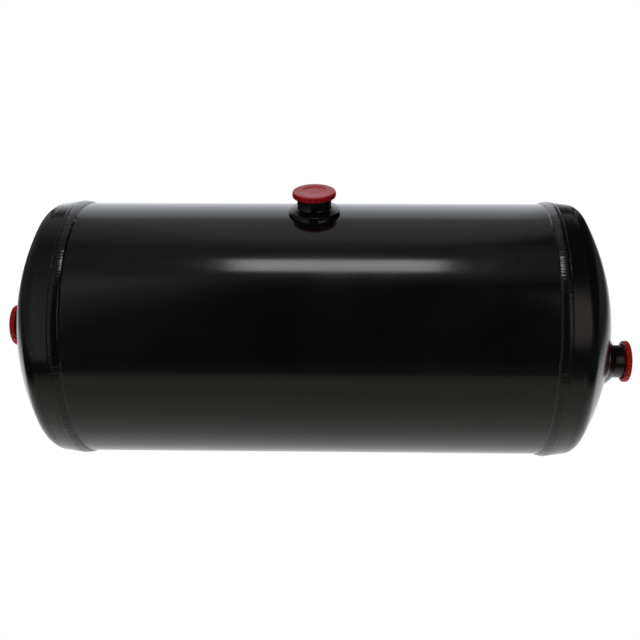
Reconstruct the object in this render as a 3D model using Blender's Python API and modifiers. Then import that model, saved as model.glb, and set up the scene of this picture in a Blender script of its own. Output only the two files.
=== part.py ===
"""Welded steel air receiver tank: rolled shell, two dished heads, three threaded port bosses
with push-in transport caps, and the welds that join them.

Frame: metres, +Z up. The tank's axis is X. The origin is on that axis, halfway between the two
girth welds, and the shell's own port points straight up. Run it with
    blender --background --python part.py
"""
import math

import bmesh
import bpy
from mathutils import Matrix, Vector

# ---------------------------------------------------------------- driving dimensions (metres)
SHELL_R = 0.123          # outside radius of the shell and of the heads' straight skirts
WALL = 0.0025            # sheet thickness of shell and heads
GAP = 0.0003             # clearance kept between neighbouring solids
JOINT_X = 0.2247         # from mid-length to the middle of each girth weld

# Dished head: crown, knuckle, straight skirt, and a lip joggled in under the shell's end
CROWN_R = 0.2213
KNUCKLE_R = 0.015
SKIRT = 0.0161           # middle of the girth weld to the start of the knuckle
LIP_LENGTH = 0.014       # how far the lip reaches in past the middle of the weld
JOGGLE = 0.0045          # length over which the sheet steps down to the lip

# Girth weld: a crown over the joint and a root down between the two sheet edges
ROOT_GAP = 0.0023        # half the distance between the two sheet edges
WELD_HALF_WIDTH = 0.0049
WELD_HEIGHT = 0.0022

# Shell seam: a butt weld along the shell, on its lower rear side
SEAM_ANGLE = math.radians(-45)    # from the rear (+Y) towards the top (+Z)
SEAM_SLOT = 0.0030
SEAM_HALF_WIDTH = 0.0040
SEAM_HEIGHT = 0.0013

# Port boss, measured from its flange's underside along its own axis
BORE_R = 0.01025         # crest radius of an M22 x 1.5 internal thread
BASE_R = 0.0195          # spigot that goes through the wall
BASE_DEPTH = 0.011
RIM_R = 0.0240
RIM_THICKNESS = 0.0018
NECK_R = 0.0160
CONE_TOP = 0.0054        # where the cone meets the neck
BOSS_HEIGHT = 0.0140
BORE_CHAMFER = 0.0012
NECK_CHAMFER = 0.0008

# Port cap, measured from the boss's end face along the same axis
CAP_R = 0.0202
CAP_THICKNESS = 0.0052
CAP_EDGE = 0.0012        # rounding of the outer edge
CAP_SKIRT_R = 0.0172     # inside of the skirt that hangs from the flange's edge
CAP_WEB = 0.0020         # plastic left over the groove between skirt and collar
CAP_COLLAR_R = 0.0110    # collar that centres the cap in the bore's chamfer
CAP_STEM_R = 0.0094
CAP_RIB_R = 0.00992
CAP_STEM_LENGTH = 0.0118
CAP_STEM_WALL = 0.0014
CAP_RIBS = 3             # barbs round the stem, each tapering away from the flange
CAP_RIB_START = 0.4      # first barb's place in its share of the stem
CAP_NOTCHES = 20
CAP_NOTCH_WIDTH = 0.0016
CAP_NOTCH_DEPTH = 0.0010
CAP_RECESS_R = 0.0135    # shallow round recess in the cap's face
CAP_RECESS = 0.0005

# Where the ports sit
TOP_PORT_X = 0.0016
TOP_SEAT = 0.0011        # underside of the flange above the shell's top line
END_SEAT = 0.0009        # underside of the flange beyond the head's pole
RIGHT_PORT_YZ = (-0.0253, -0.0212)
LEFT_PORT_YZ = (0.0130, -0.0052)

SHELL_STEPS = 48
PORT_STEPS = 32

# ---------------------------------------------------------------- sizes that follow
TANGENT = math.asin((SHELL_R - KNUCKLE_R) / (CROWN_R - KNUCKLE_R))
KNUCKLE_X = JOINT_X + SKIRT
CROWN_CENTRE_X = KNUCKLE_X - (CROWN_R - KNUCKLE_R) * math.cos(TANGENT)
POLE_X = CROWN_CENTRE_X + CROWN_R
LIP_R = SHELL_R - WALL - GAP


def clear_scene():
    for obj in list(bpy.data.objects):
        bpy.data.objects.remove(obj, do_unlink=True)
    for name in ("air_receiver_tank", "cutters"):
        group = bpy.data.collections.new(name)
        bpy.context.scene.collection.children.link(group)


def paint(name, colour, roughness, metallic=0.0):
    material = bpy.data.materials.new(name)
    material.use_nodes = True
    shader = material.node_tree.nodes["Principled BSDF"]
    shader.inputs["Base Color"].default_value = (*colour, 1.0)
    shader.inputs["Roughness"].default_value = roughness
    shader.inputs["Metallic"].default_value = metallic
    return material


def add_object(name, data, group, material=None):
    obj = bpy.data.objects.new(name, data)
    bpy.data.collections[group].objects.link(obj)
    if material is not None:
        obj.data.materials.clear()
        obj.data.materials.append(material)
    return obj


def settle(obj):
    """Turn an object's modifiers, or a curve, into a plain smooth-shaded mesh."""
    bpy.context.view_layer.update()
    evaluated = obj.evaluated_get(bpy.context.evaluated_depsgraph_get())
    mesh = bpy.data.meshes.new_from_object(evaluated)
    mesh.name = obj.name
    work = bmesh.new()
    work.from_mesh(mesh)
    bmesh.ops.remove_doubles(work, verts=work.verts, dist=1e-6)
    work.to_mesh(mesh)
    work.free()
    mesh.shade_smooth()
    mesh.set_sharp_from_angle(angle=math.radians(32))
    return mesh


def arc(centre_r, centre_z, radius, start, end, count):
    """Points (r, z) on an arc; its angles are measured from the axis, in radians."""
    points = []
    for i in range(count + 1):
        angle = start + (end - start) * i / count
        points.append((centre_r + radius * math.sin(angle), centre_z + radius * math.cos(angle)))
    return points


def turned(name, outline, steps, closed=True):
    """A mesh turned about Z from an outline (r, z) that runs down its outer side."""
    mesh = bpy.data.meshes.new(name)
    count = len(outline)
    edges = [(i, i + 1) for i in range(count - 1)]
    if closed:
        edges.append((count - 1, 0))
    mesh.from_pydata([(r, 0.0, z) for r, z in outline], edges, [])
    obj = add_object(name, mesh, "cutters")
    screw = obj.modifiers.new("turn", "SCREW")
    screw.axis = "Z"
    screw.angle = 2 * math.pi
    screw.steps = screw.render_steps = steps
    screw.use_merge_vertices = True
    screw.merge_threshold = 1e-6
    result = settle(obj)
    bpy.data.objects.remove(obj, do_unlink=True)
    return result


def cutter(name, data, matrix=None):
    obj = add_object(name, data, "cutters")
    if matrix is not None:
        obj.matrix_world = matrix
    obj.display_type = "WIRE"
    obj.hide_render = True
    return obj


def cut(obj, tool):
    boolean = obj.modifiers.new("cut " + tool.name, "BOOLEAN")
    boolean.operation = "DIFFERENCE"
    boolean.object = tool


def cylinder_mesh(name, radius, low, high, steps):
    work = bmesh.new()
    bmesh.ops.create_cone(work, cap_ends=True, segments=steps, radius1=radius, radius2=radius,
                          depth=high - low)
    bmesh.ops.translate(work, vec=(0, 0, (low + high) / 2), verts=work.verts)
    mesh = bpy.data.meshes.new(name)
    work.to_mesh(mesh)
    work.free()
    return mesh


def box_mesh(name, boxes):
    """One mesh of separate boxes, each given by its size and its matrix."""
    work = bmesh.new()
    for size, matrix in boxes:
        scaled = matrix @ Matrix.Diagonal((*size, 1.0))
        bmesh.ops.create_cube(work, size=1.0, matrix=scaled)
    mesh = bpy.data.meshes.new(name)
    work.to_mesh(mesh)
    work.free()
    return mesh


# ---------------------------------------------------------------- ports: places and axes
def port_matrix(seat, turn):
    return Matrix.Translation(seat) @ Matrix.Rotation(math.radians(turn), 4, "Y")


PORTS = {
    "top": port_matrix((TOP_PORT_X, 0.0, SHELL_R + TOP_SEAT), 0),
    "left": port_matrix((-(POLE_X + END_SEAT), *LEFT_PORT_YZ), -90),
    "right": port_matrix((POLE_X + END_SEAT, *RIGHT_PORT_YZ), 90),
}


def wall_height(port, local):
    """How high the tank's outer surface stands, along the port's axis, beside a local point."""
    place = PORTS[port] @ Vector((local.x, local.y, 0.0))
    if port == "top":
        return math.sqrt(SHELL_R ** 2 - place.y ** 2) - place.z
    off_axis = place.y ** 2 + place.z ** 2
    return CROWN_CENTRE_X + math.sqrt(CROWN_R ** 2 - off_axis) - abs(place.x)


# ---------------------------------------------------------------- the welded vessel
def shell(material):
    """Sheet rolled to a tube, open along its seam, with a hole for the top port."""
    end = JOINT_X - ROOT_GAP
    outline = [(SHELL_R, end), (SHELL_R, -end), (SHELL_R - WALL, -end), (SHELL_R - WALL, end)]
    obj = add_object("shell", turned("shell", outline, SHELL_STEPS), "air_receiver_tank", material)
    obj.rotation_euler = (0, math.pi / 2, 0)
    slot = Matrix.Rotation(SEAM_ANGLE, 4, "X") @ Matrix.Translation((0, SHELL_R, 0))
    size = (2.2 * JOINT_X, 6 * WALL, SEAM_SLOT)
    cut(obj, cutter("seam_slot", box_mesh("seam_slot", [(size, slot)])))
    cut(obj, cutter("top_port_hole", hole_mesh(), PORTS["top"]))
    return obj


def hole_mesh():
    return cylinder_mesh("port_hole", BASE_R + GAP, -2 * BASE_DEPTH, BASE_DEPTH, PORT_STEPS)


def head_outline():
    """Half section of a dished head, from its outer pole down to the lip and back inside."""
    knuckle_r = SHELL_R - KNUCKLE_R
    inner_lip = LIP_R - WALL
    inner_skirt = SHELL_R - WALL
    outer = arc(0, CROWN_CENTRE_X, CROWN_R, 0, TANGENT, 6)
    outer += arc(knuckle_r, KNUCKLE_X, KNUCKLE_R, TANGENT, math.pi / 2, 4)[1:]
    step = [
        (SHELL_R, JOINT_X + ROOT_GAP),
        (LIP_R, JOINT_X + ROOT_GAP),
        (LIP_R, JOINT_X - LIP_LENGTH),
        (inner_lip, JOINT_X - LIP_LENGTH),
        (inner_lip, JOINT_X + ROOT_GAP / 2),
        (inner_skirt, JOINT_X + ROOT_GAP / 2 + JOGGLE),
    ]
    inner = arc(0, CROWN_CENTRE_X, CROWN_R - WALL, 0, TANGENT, 6)
    inner += arc(knuckle_r, KNUCKLE_X, KNUCKLE_R - WALL, TANGENT, math.pi / 2, 3)[1:]
    return outer + step + inner[::-1]


def head(side, turn, material):
    mesh = turned(side + "_head", head_outline(), SHELL_STEPS, closed=False)
    obj = add_object(side + "_head", mesh, "air_receiver_tank", material)
    obj.rotation_euler = (0, math.radians(turn), 0)
    cut(obj, cutter(side + "_port_hole", hole_mesh(), PORTS[side]))
    return obj


def girth_weld(side, turn, material):
    """Weld bead round the joint, its root between the sheet edges over the lip."""
    rise = WELD_HEIGHT - GAP
    bead_r = (WELD_HALF_WIDTH ** 2 + rise ** 2) / (2 * rise)
    reach = math.asin(WELD_HALF_WIDTH / bead_r)
    centre = SHELL_R + WELD_HEIGHT - bead_r
    crown = arc(centre, JOINT_X, bead_r, math.pi / 2 - reach, math.pi / 2 + reach, 4)
    half_root = ROOT_GAP - GAP
    root = [
        (SHELL_R + GAP, JOINT_X - half_root),
        (LIP_R + GAP, JOINT_X - half_root),
        (LIP_R + GAP, JOINT_X + half_root),
        (SHELL_R + GAP, JOINT_X + half_root),
    ]
    mesh = turned(side + "_girth_weld", crown + root, SHELL_STEPS)
    obj = add_object(side + "_girth_weld", mesh, "air_receiver_tank", material)
    obj.rotation_euler = (0, math.radians(turn), 0)
    return obj


def shell_seam_weld(material):
    """Straight bead along the shell, its root filling the slot between the rolled edges."""
    flat = SHELL_R * math.cos(SEAM_HALF_WIDTH / SHELL_R) + GAP
    rise = SHELL_R + SEAM_HEIGHT - flat
    bead_r = (SEAM_HALF_WIDTH ** 2 + rise ** 2) / (2 * rise)
    reach = math.asin(SEAM_HALF_WIDTH / bead_r)
    crown = arc(0, SHELL_R + SEAM_HEIGHT - bead_r, bead_r, -reach, reach, 6)
    half_root = SEAM_SLOT / 2 - GAP
    top = SHELL_R + GAP
    bottom = SHELL_R - WALL + GAP
    root = [(half_root, top), (half_root, bottom), (-half_root, bottom), (-half_root, top)]
    outline = crown + root
    curve = bpy.data.curves.new("shell_seam_weld", "CURVE")
    curve.dimensions = "2D"
    curve.fill_mode = "BOTH"
    curve.extrude = JOINT_X - WELD_HALF_WIDTH - GAP
    spline = curve.splines.new("POLY")
    spline.points.add(len(outline) - 1)
    for point, (across, out) in zip(spline.points, outline):
        point.co = (across, out, 0, 1)
    spline.use_cyclic_u = True
    guide = add_object("seam_outline", curve, "cutters")
    mesh = settle(guide)
    bpy.data.objects.remove(guide, do_unlink=True)
    obj = add_object("shell_seam_weld", mesh, "air_receiver_tank", material)
    lay_along_x = Matrix.Rotation(math.pi / 2, 4, "Y")
    obj.matrix_world = Matrix.Rotation(SEAM_ANGLE, 4, "X") @ lay_along_x
    return obj


# ---------------------------------------------------------------- port bosses, welds and caps
def boss_mesh():
    """Threaded spigot with a coned flange; its section runs down the outside and up the bore."""
    edge = RIM_THICKNESS / 2
    rim = arc(RIM_R - edge, edge, edge, math.radians(28), math.pi, 4)
    outline = [
        (NECK_R - NECK_CHAMFER, BOSS_HEIGHT),
        (NECK_R, BOSS_HEIGHT - NECK_CHAMFER),
        (NECK_R, CONE_TOP),
        *rim,
        (BASE_R, 0.0),
        (BASE_R, -BASE_DEPTH),
        (BORE_R + BORE_CHAMFER, -BASE_DEPTH),
        (BORE_R, BORE_CHAMFER - BASE_DEPTH),
        (BORE_R, BOSS_HEIGHT - BORE_CHAMFER),
        (BORE_R + BORE_CHAMFER, BOSS_HEIGHT),
    ]
    return turned("port_boss", outline, PORT_STEPS)


def port_weld_mesh(port):
    """Fillet under the flange; its lower edge follows the tank's curved wall."""
    deep = -BASE_DEPTH
    outline = [
        (RIM_R - 0.0014, -GAP),
        (RIM_R + 0.0010, deep),
        (BASE_R + GAP, deep),
        (BASE_R + GAP, -GAP),
    ]
    mesh = turned(port + "_port_weld", outline, PORT_STEPS)
    for vertex in mesh.vertices:
        if vertex.co.z < deep / 2:
            vertex.co.z = wall_height(port, vertex.co) + GAP
    return mesh


def cap_mesh():
    """Push-in plug: notched grip flange cored out from below, collar, and hollow barbed stem."""
    top = CAP_THICKNESS
    web = top - CAP_WEB
    stem_end = -CAP_STEM_LENGTH
    hollow_r = CAP_STEM_R - CAP_STEM_WALL
    collar_end = -GAP
    cone_end = collar_end - (CAP_COLLAR_R - CAP_STEM_R)
    face = top - CAP_RECESS
    outline = [(0.0, face), (CAP_RECESS_R, face), (CAP_RECESS_R + CAP_RECESS, top)]
    outline += arc(CAP_R - CAP_EDGE, top - CAP_EDGE, CAP_EDGE, 0, math.pi / 2, 2)
    outline += [(CAP_R, 0.0), (CAP_SKIRT_R, 0.0), (CAP_SKIRT_R, web), (CAP_COLLAR_R, web)]
    outline += [(CAP_COLLAR_R, collar_end), (CAP_STEM_R, cone_end)]
    pitch = (CAP_STEM_LENGTH + cone_end) / CAP_RIBS
    for rib in range(CAP_RIBS):
        crest = cone_end - (rib + CAP_RIB_START) * pitch
        outline += [(CAP_STEM_R, crest), (CAP_RIB_R, crest)]
    outline += [(CAP_STEM_R, stem_end), (hollow_r, stem_end)]
    outline += [(hollow_r, face - CAP_WEB), (0.0, face - CAP_WEB)]
    blank = turned("cap_blank", outline, 2 * CAP_NOTCHES, closed=False)
    body = add_object("cap_blank", blank, "cutters")
    boxes = []
    for notch in range(CAP_NOTCHES):
        turn = Matrix.Rotation((notch + 0.5) * 2 * math.pi / CAP_NOTCHES, 4, "Z")
        reach = 2 * CAP_NOTCH_DEPTH
        place = Matrix.Translation((CAP_R - CAP_NOTCH_DEPTH + reach / 2, 0, top / 2))
        boxes.append(((reach, CAP_NOTCH_WIDTH, 3 * top), turn @ place))
    cut(body, cutter("cap_notches", box_mesh("cap_notches", boxes)))
    mesh = settle(body)
    bpy.data.objects.remove(body, do_unlink=True)
    return mesh


def ports(black, weld_black, red):
    """Boss, weld and cap of each port, on an empty that lies on the port's axis."""
    boss = boss_mesh()
    cap = cap_mesh()
    for name, matrix in PORTS.items():
        seat = bpy.data.objects.new(name + "_port_axis", None)
        bpy.data.collections["air_receiver_tank"].objects.link(seat)
        seat.matrix_world = matrix
        pieces = [
            add_object(name + "_port_boss", boss, "air_receiver_tank", black),
            add_object(name + "_port_weld", port_weld_mesh(name), "air_receiver_tank", weld_black),
            add_object(name + "_port_cap", cap, "air_receiver_tank", red),
        ]
        for piece in pieces:
            piece.parent = seat
        pieces[-1].location.z = BOSS_HEIGHT + GAP


def main():
    clear_scene()
    black = paint("black_paint", (0.012, 0.012, 0.013), 0.28)
    weld_black = paint("black_paint_on_weld", (0.014, 0.014, 0.015), 0.34)
    red = paint("red_cap_plastic", (0.42, 0.012, 0.018), 0.42)
    shell(black)
    for side, turn in (("left", -90), ("right", 90)):
        head(side, turn, black)
        girth_weld(side, turn, weld_black)
    shell_seam_weld(weld_black)
    ports(black, weld_black, red)
    bpy.context.view_layer.update()


main()
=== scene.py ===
# %% [markdown]
# # Air receiver tank: the looks
#
# The tank is a welded pressure vessel: a rolled steel shell, two dished heads, weld beads, three
# threaded bosses and three push-in plastic caps that keep dirt out of the threads. The CAD frame
# says where each of them is and how the caps move. This script models each piece again in finer
# detail, gives it a finish, and lights it in a small white studio.

# %% Load the frame
import math

import bmesh
import bpy
from mathutils import Matrix, Vector, noise


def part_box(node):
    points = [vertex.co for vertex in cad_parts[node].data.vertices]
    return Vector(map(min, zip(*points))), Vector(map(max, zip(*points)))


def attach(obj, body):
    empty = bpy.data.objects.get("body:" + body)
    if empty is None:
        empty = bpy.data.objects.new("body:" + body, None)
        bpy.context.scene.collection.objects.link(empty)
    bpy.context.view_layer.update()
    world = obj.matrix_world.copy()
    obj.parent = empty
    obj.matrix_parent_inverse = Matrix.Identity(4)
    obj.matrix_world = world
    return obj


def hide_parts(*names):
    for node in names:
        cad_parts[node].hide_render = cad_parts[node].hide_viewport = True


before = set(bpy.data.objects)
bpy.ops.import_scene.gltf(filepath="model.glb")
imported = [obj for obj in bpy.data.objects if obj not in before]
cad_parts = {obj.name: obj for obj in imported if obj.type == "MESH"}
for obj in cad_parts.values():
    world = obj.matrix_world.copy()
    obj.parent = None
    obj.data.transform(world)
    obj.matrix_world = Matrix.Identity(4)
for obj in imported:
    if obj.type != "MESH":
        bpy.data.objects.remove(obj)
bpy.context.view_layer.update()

MM = 0.001
bpy.context.scene.view_settings.view_transform = "Standard"


def put_in_scene(name, data):
    made = bpy.data.objects.new(name, data)
    bpy.context.scene.collection.objects.link(made)
    return made


# %% [markdown]
# ## The camera
#
# A camera is placed by saying what it looks at, from which side, and how far away it stands. The
# two angles become a direction, and the direction becomes the camera's own axes: a camera looks
# along its local -Z, so local +Z points back from the target to the lens. The small shift slides
# the picture on the sensor without turning the camera, as a view camera's rising front does.

# %% Camera
CAMERA_TARGET = Vector((0.0223, 0.0, -0.0379))
CAMERA_DISTANCE = 0.9447
CAMERA_AZIMUTH = math.radians(1.5)
CAMERA_ELEVATION = math.radians(30.18)
CAMERA_ROLL = math.radians(-0.37)
FOCAL_LENGTH = 52.08          # for a sensor 36 wide, both in millimetres
LENS_SHIFT = (-0.0276, 0.0643)

back = Vector((
    math.sin(CAMERA_AZIMUTH) * math.cos(CAMERA_ELEVATION),
    -math.cos(CAMERA_AZIMUTH) * math.cos(CAMERA_ELEVATION),
    math.sin(CAMERA_ELEVATION),
))
lens = bpy.data.cameras.new("studio_camera")
lens.lens = FOCAL_LENGTH
lens.sensor_width = 36.0
lens.shift_x, lens.shift_y = LENS_SHIFT
camera = put_in_scene("studio_camera", lens)
turned = back.to_track_quat("Z", "Y").to_matrix().to_4x4()
roll = Matrix.Rotation(CAMERA_ROLL, 4, "Z")
camera.matrix_world = Matrix.Translation(CAMERA_TARGET + CAMERA_DISTANCE * back) @ turned @ roll
bpy.context.scene.camera = camera
print("camera at", [round(c, 3) for c in camera.matrix_world.translation])

# %% [markdown]
# ## Sizes from the frame
#
# Every CAD node can say how much room it takes. The shell's box gives the tank's radius and
# where the sheet ends, a head's box gives the pole of the dome, and a boss's box gives the axis
# of its port. Only the sizes that no box can show, such as the sheet's thickness and the radii
# of the dished head, are written down here.

# %% Sizes
shell_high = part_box("shell")[1]
bead_low, bead_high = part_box("right_girth_weld")
head_low, head_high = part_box("right_head")

SHELL_R = shell_high.y
SHELL_END = shell_high.x
BEAD_X = (bead_low.x + bead_high.x) / 2
BEAD_HALF_WIDTH = (bead_high.x - bead_low.x) / 2
BEAD_TOP_R = bead_high.y
LIP_END = head_low.x
WALL = 2.5 * MM
GAP = 0.3 * MM
CROWN_R = 221.3 * MM
KNUCKLE_R = 15.0 * MM
crown_centre = head_high.x - CROWN_R
tangent = math.asin((SHELL_R - KNUCKLE_R) / (CROWN_R - KNUCKLE_R))
knuckle_x = crown_centre + (CROWN_R - KNUCKLE_R) * math.cos(tangent)
LIP_R = SHELL_R - WALL - GAP
SKIRT_RISE = 1.8 * MM         # how far the head's skirt is opened out where it meets the weld
print(f"tank: {2 * head_high.x / MM:.1f} mm over the heads, {2 * SHELL_R / MM:.1f} mm across")

# %% [markdown]
# ## From a mesh to a piece
#
# All pieces end the same way. The bmesh is written to a mesh, shaded smooth with sharp edges
# kept where two faces meet at an angle, and handed to the frame: it rides on a body and stands
# for the CAD node of the same name, which is then hidden. The finishes are made later, so each
# piece only remembers their names here.

# %% Finish a piece
finishes = {}


def finish_piece(work, node, body, slot, *materials, sharp=35):
    mesh = bpy.data.meshes.new(node)
    bmesh.ops.recalc_face_normals(work, faces=work.faces)
    work.to_mesh(mesh)
    work.free()
    mesh.shade_smooth()
    mesh.set_sharp_from_angle(angle=math.radians(sharp))
    piece = put_in_scene("fine_" + node, mesh)
    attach(piece, body)
    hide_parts(node)
    finishes[piece.name] = materials
    loose = sum(1 for edge in mesh.edges if edge.is_loose)
    print(f"{piece.name}: {len(mesh.polygons)} faces, {loose} loose edges")
    return piece


# %% [markdown]
# ## Two ways to grow a mesh
#
# Round parts are grown in two ways. `spin_outline` turns a half section about the Z axis, which
# is how a lathe would make a cap. `grow` copies an open rim and joins the copy to it, so moving
# the new points makes the next ring of a part. `extend` does that for the heads, whose rings
# only need a new radius and a new place along the X axis.

# %% Outline helpers
def arc(centre_r, centre_z, radius, start, end, count):
    """Points (r, z) on an arc; its angles are in degrees, from the axis outwards."""
    angles = [math.radians(start + (end - start) * i / count) for i in range(count + 1)]
    return [(centre_r + radius * math.sin(a), centre_z + radius * math.cos(a)) for a in angles]


def spin_outline(outline, steps, closed=False):
    """Turn an outline of (r, z) points about Z; a closed outline comes back to its start."""
    work = bmesh.new()
    points = [work.verts.new((r, 0.0, z)) for r, z in outline]
    links = list(zip(points, points[1:] + points[:1] if closed else points[1:]))
    edges = [work.edges.new(pair) for pair in links]
    bmesh.ops.spin(work, geom=points + edges, cent=(0, 0, 0), axis=(0, 0, 1), dvec=(0, 0, 0),
                   angle=2 * math.pi, steps=steps, use_merge=True)
    bmesh.ops.remove_doubles(work, verts=work.verts, dist=1e-6)
    return work


def spin_fine(outline, steps, fine):
    """Turn a closed outline in coarse steps, then divide each step and round it off again.

    Many small steps of the spin itself would be slow, because each one looks at the whole mesh.
    """
    work = spin_outline(outline, steps, closed=True)
    step = 2 * math.pi / steps
    along = [e for e in work.edges if abs(e.verts[0].co.z - e.verts[1].co.z) < 1e-7
             and (e.verts[0].co - e.verts[1].co).length > step * BEAD_HALF_WIDTH
             and abs(e.verts[0].co.xy.length - e.verts[1].co.xy.length) < 1e-6]
    bmesh.ops.subdivide_edges(work, edges=along, cuts=fine - 1, use_grid_fill=True)
    for vertex in work.verts:
        off_middle = math.atan2(vertex.co.y, vertex.co.x) % step - step / 2
        scale_radius(vertex, math.cos(off_middle) / math.cos(step / 2))
    return work


def grow(work, rim):
    """Extrude edges; give back the new points, the new rim and the new faces."""
    grown = bmesh.ops.extrude_edge_only(work, edges=rim)["geom"]
    return ([g for g in grown if isinstance(g, bmesh.types.BMVert)],
            [g for g in grown if isinstance(g, bmesh.types.BMEdge) and g.is_boundary],
            [g for g in grown if isinstance(g, bmesh.types.BMFace)])


def extend(work, rim, radius, along):
    """Pull a rim of edges round the X axis to a new radius and place; give back the new rim."""
    points, new_rim, _ = grow(work, rim)
    for vertex in points:
        across = Vector((vertex.co.y, vertex.co.z)).normalized() * radius
        vertex.co = (along, across.x, across.y)
    return new_rim


def scale_radius(vertex, factor):
    vertex.co.x *= factor
    vertex.co.y *= factor


def lay_along_x(work):
    bmesh.ops.rotate(work, verts=work.verts, cent=(0, 0, 0),
                     matrix=Matrix.Rotation(math.pi / 2, 3, "Y"))


# %% [markdown]
# ## Port places
#
# Each port has an axis of its own: straight up for the top one, and out along the tank for the
# two in the heads. A boss's box is centred on that axis and ends at the boss's end face, so the
# box and the outward direction are enough to build the matrix that carries a part modelled on
# the Z axis to its port.

# %% Port places
BOSS_HEIGHT = 14.0 * MM
BOSS_DEPTH = 11.0 * MM
OUTWARD = {"top": Vector((0, 0, 1)), "left": Vector((-1, 0, 0)), "right": Vector((1, 0, 0))}


def port_matrix(side):
    low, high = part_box(side + "_port_boss")
    out = OUTWARD[side]
    reach = Vector([abs(c) for c in out]).dot(high - low) / 2
    seat = (low + high) / 2 + out * (reach - BOSS_HEIGHT)
    return Matrix.Translation(seat) @ out.to_track_quat("Z", "Y").to_matrix().to_4x4()


ports = {side: port_matrix(side) for side in OUTWARD}
for side, place in ports.items():
    print(side, "port seat at", [round(c / MM, 2) for c in place.translation], "mm")


def wall_height(side, point):
    """How high the tank's surface stands beside a port, measured along the port's axis."""
    place = ports[side] @ Vector((point.x, point.y, 0.0))
    if side == "top":
        return math.sqrt(SHELL_R ** 2 - place.y ** 2) - place.z
    off_axis = place.y ** 2 + place.z ** 2
    return crown_centre + math.sqrt(CROWN_R ** 2 - off_axis) - abs(place.x)


# %% [markdown]
# ## The shell
#
# The shell is flat sheet rolled into a tube, so it is a thin wall with a straight slot where its
# edges meet and a round hole for the top boss. A Boolean would cut the hole but leave long thin
# faces that show as creases in glossy paint. Here the tube is spun with a patch of small square
# cells at the top. The patch is removed, its rim is drawn in to a circle, and the ring between
# them is divided and laid back on the cylinder, so every point is exactly on the round surface.

# %% Shell skin
SHELL_STEPS = 288
PATCH_CELLS = 12              # small cells on each side of the top port
SEAM_ANGLE = math.radians(135)  # from the top, towards the rear and down
BOSS_HOLE_R = 19.8 * MM

cell = 2 * math.pi / SHELL_STEPS
patch = PATCH_CELLS * cell * SHELL_R
top_x = ports["top"].translation.x

shell = bmesh.new()
stations = [-SHELL_END] + [top_x + patch * i / PATCH_CELLS
                           for i in range(-PATCH_CELLS, PATCH_CELLS + 1)] + [SHELL_END]
line = [shell.verts.new((x, 0.0, SHELL_R)) for x in stations]
line_edges = [shell.edges.new(pair) for pair in zip(line, line[1:])]
bmesh.ops.spin(shell, geom=line + line_edges, cent=(0, 0, 0), axis=(1, 0, 0), dvec=(0, 0, 0),
               angle=2 * math.pi, steps=SHELL_STEPS, use_merge=True)


def angle_from_top(point):
    return math.atan2(point.y, point.z)


def in_patch(point):
    return abs(angle_from_top(point)) < patch / SHELL_R and abs(point.x - top_x) < patch


slot_faces = [f for f in shell.faces
              if abs(angle_from_top(f.calc_center_median()) - SEAM_ANGLE) < cell]
patch_faces = [f for f in shell.faces if in_patch(f.calc_center_median())]
bmesh.ops.delete(shell, geom=slot_faces + patch_faces, context="FACES")

# %% Shell hole and wall
rim = [e for e in shell.edges
       if e.is_boundary and e.verts[0].co.z > 0 and abs(e.verts[0].co.x) < 0.9 * SHELL_END]
points, _, ring = grow(shell, rim)
for vertex in points:
    out = Vector((vertex.co.x - top_x, vertex.co.y)).normalized() * BOSS_HOLE_R
    vertex.co.x, vertex.co.y = top_x + out.x, out.y
spokes = {e for f in ring for e in f.edges if all(g in ring for g in e.link_faces)}
bmesh.ops.subdivide_edges(shell, edges=[e for e in spokes if not e.is_boundary], cuts=5,
                          use_grid_fill=True)
for vertex in shell.verts:
    if vertex.co.z > 0 and in_patch(vertex.co):
        vertex.co.z = math.sqrt(SHELL_R ** 2 - vertex.co.y ** 2)


def thicken(work):
    """Give an outer skin its wall, inwards, and mark the faces that look into the tank."""
    bmesh.ops.recalc_face_normals(work, faces=work.faces)
    middle = max(work.faces, key=lambda f: f.calc_area())
    if middle.normal.dot(middle.calc_center_median()) < 0:
        bmesh.ops.reverse_faces(work, faces=work.faces)
    bmesh.ops.solidify(work, geom=work.faces[:], thickness=WALL)
    bmesh.ops.recalc_face_normals(work, faces=work.faces)
    for face in work.faces:
        face.material_index = int(face.normal.dot(face.calc_center_median()) < 0)


thicken(shell)
radii = sorted(math.hypot(v.co.y, v.co.z) for v in shell.verts)
print(f"shell wall from {radii[0] / MM:.2f} to {radii[-1] / MM:.2f} mm")
finish_piece(shell, "shell", "tank", "tank_paint", "black paint", "bare steel")

# %% [markdown]
# ## The dished heads
#
# A head is pressed from a disc: a shallow spherical crown, a tight knuckle, and a short skirt. The
# skirt opens out a little towards the weld, and its lip is stepped down to slip inside the
# shell. The hole for the port is off the tank's axis, so rings about the axis would run into it.
# A sphere doesn't mind which way its rings lean, so the crown's rings start round the hole and
# drift over to the knuckle, and each point is then laid on the sphere. The knuckle, skirt and
# lip are grown outwards from there.

# %% Heads
HEAD_STEPS = 256
CROWN_RINGS = 18
KNUCKLE_RINGS = 12
SKIRT_RINGS = 8
STEP_RINGS = 6                # where the skirt steps down to the lip, under the bead
STEP_START = 0.75             # both ends of the step, as shares of the bead's half width
STEP_END = -0.15


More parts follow.
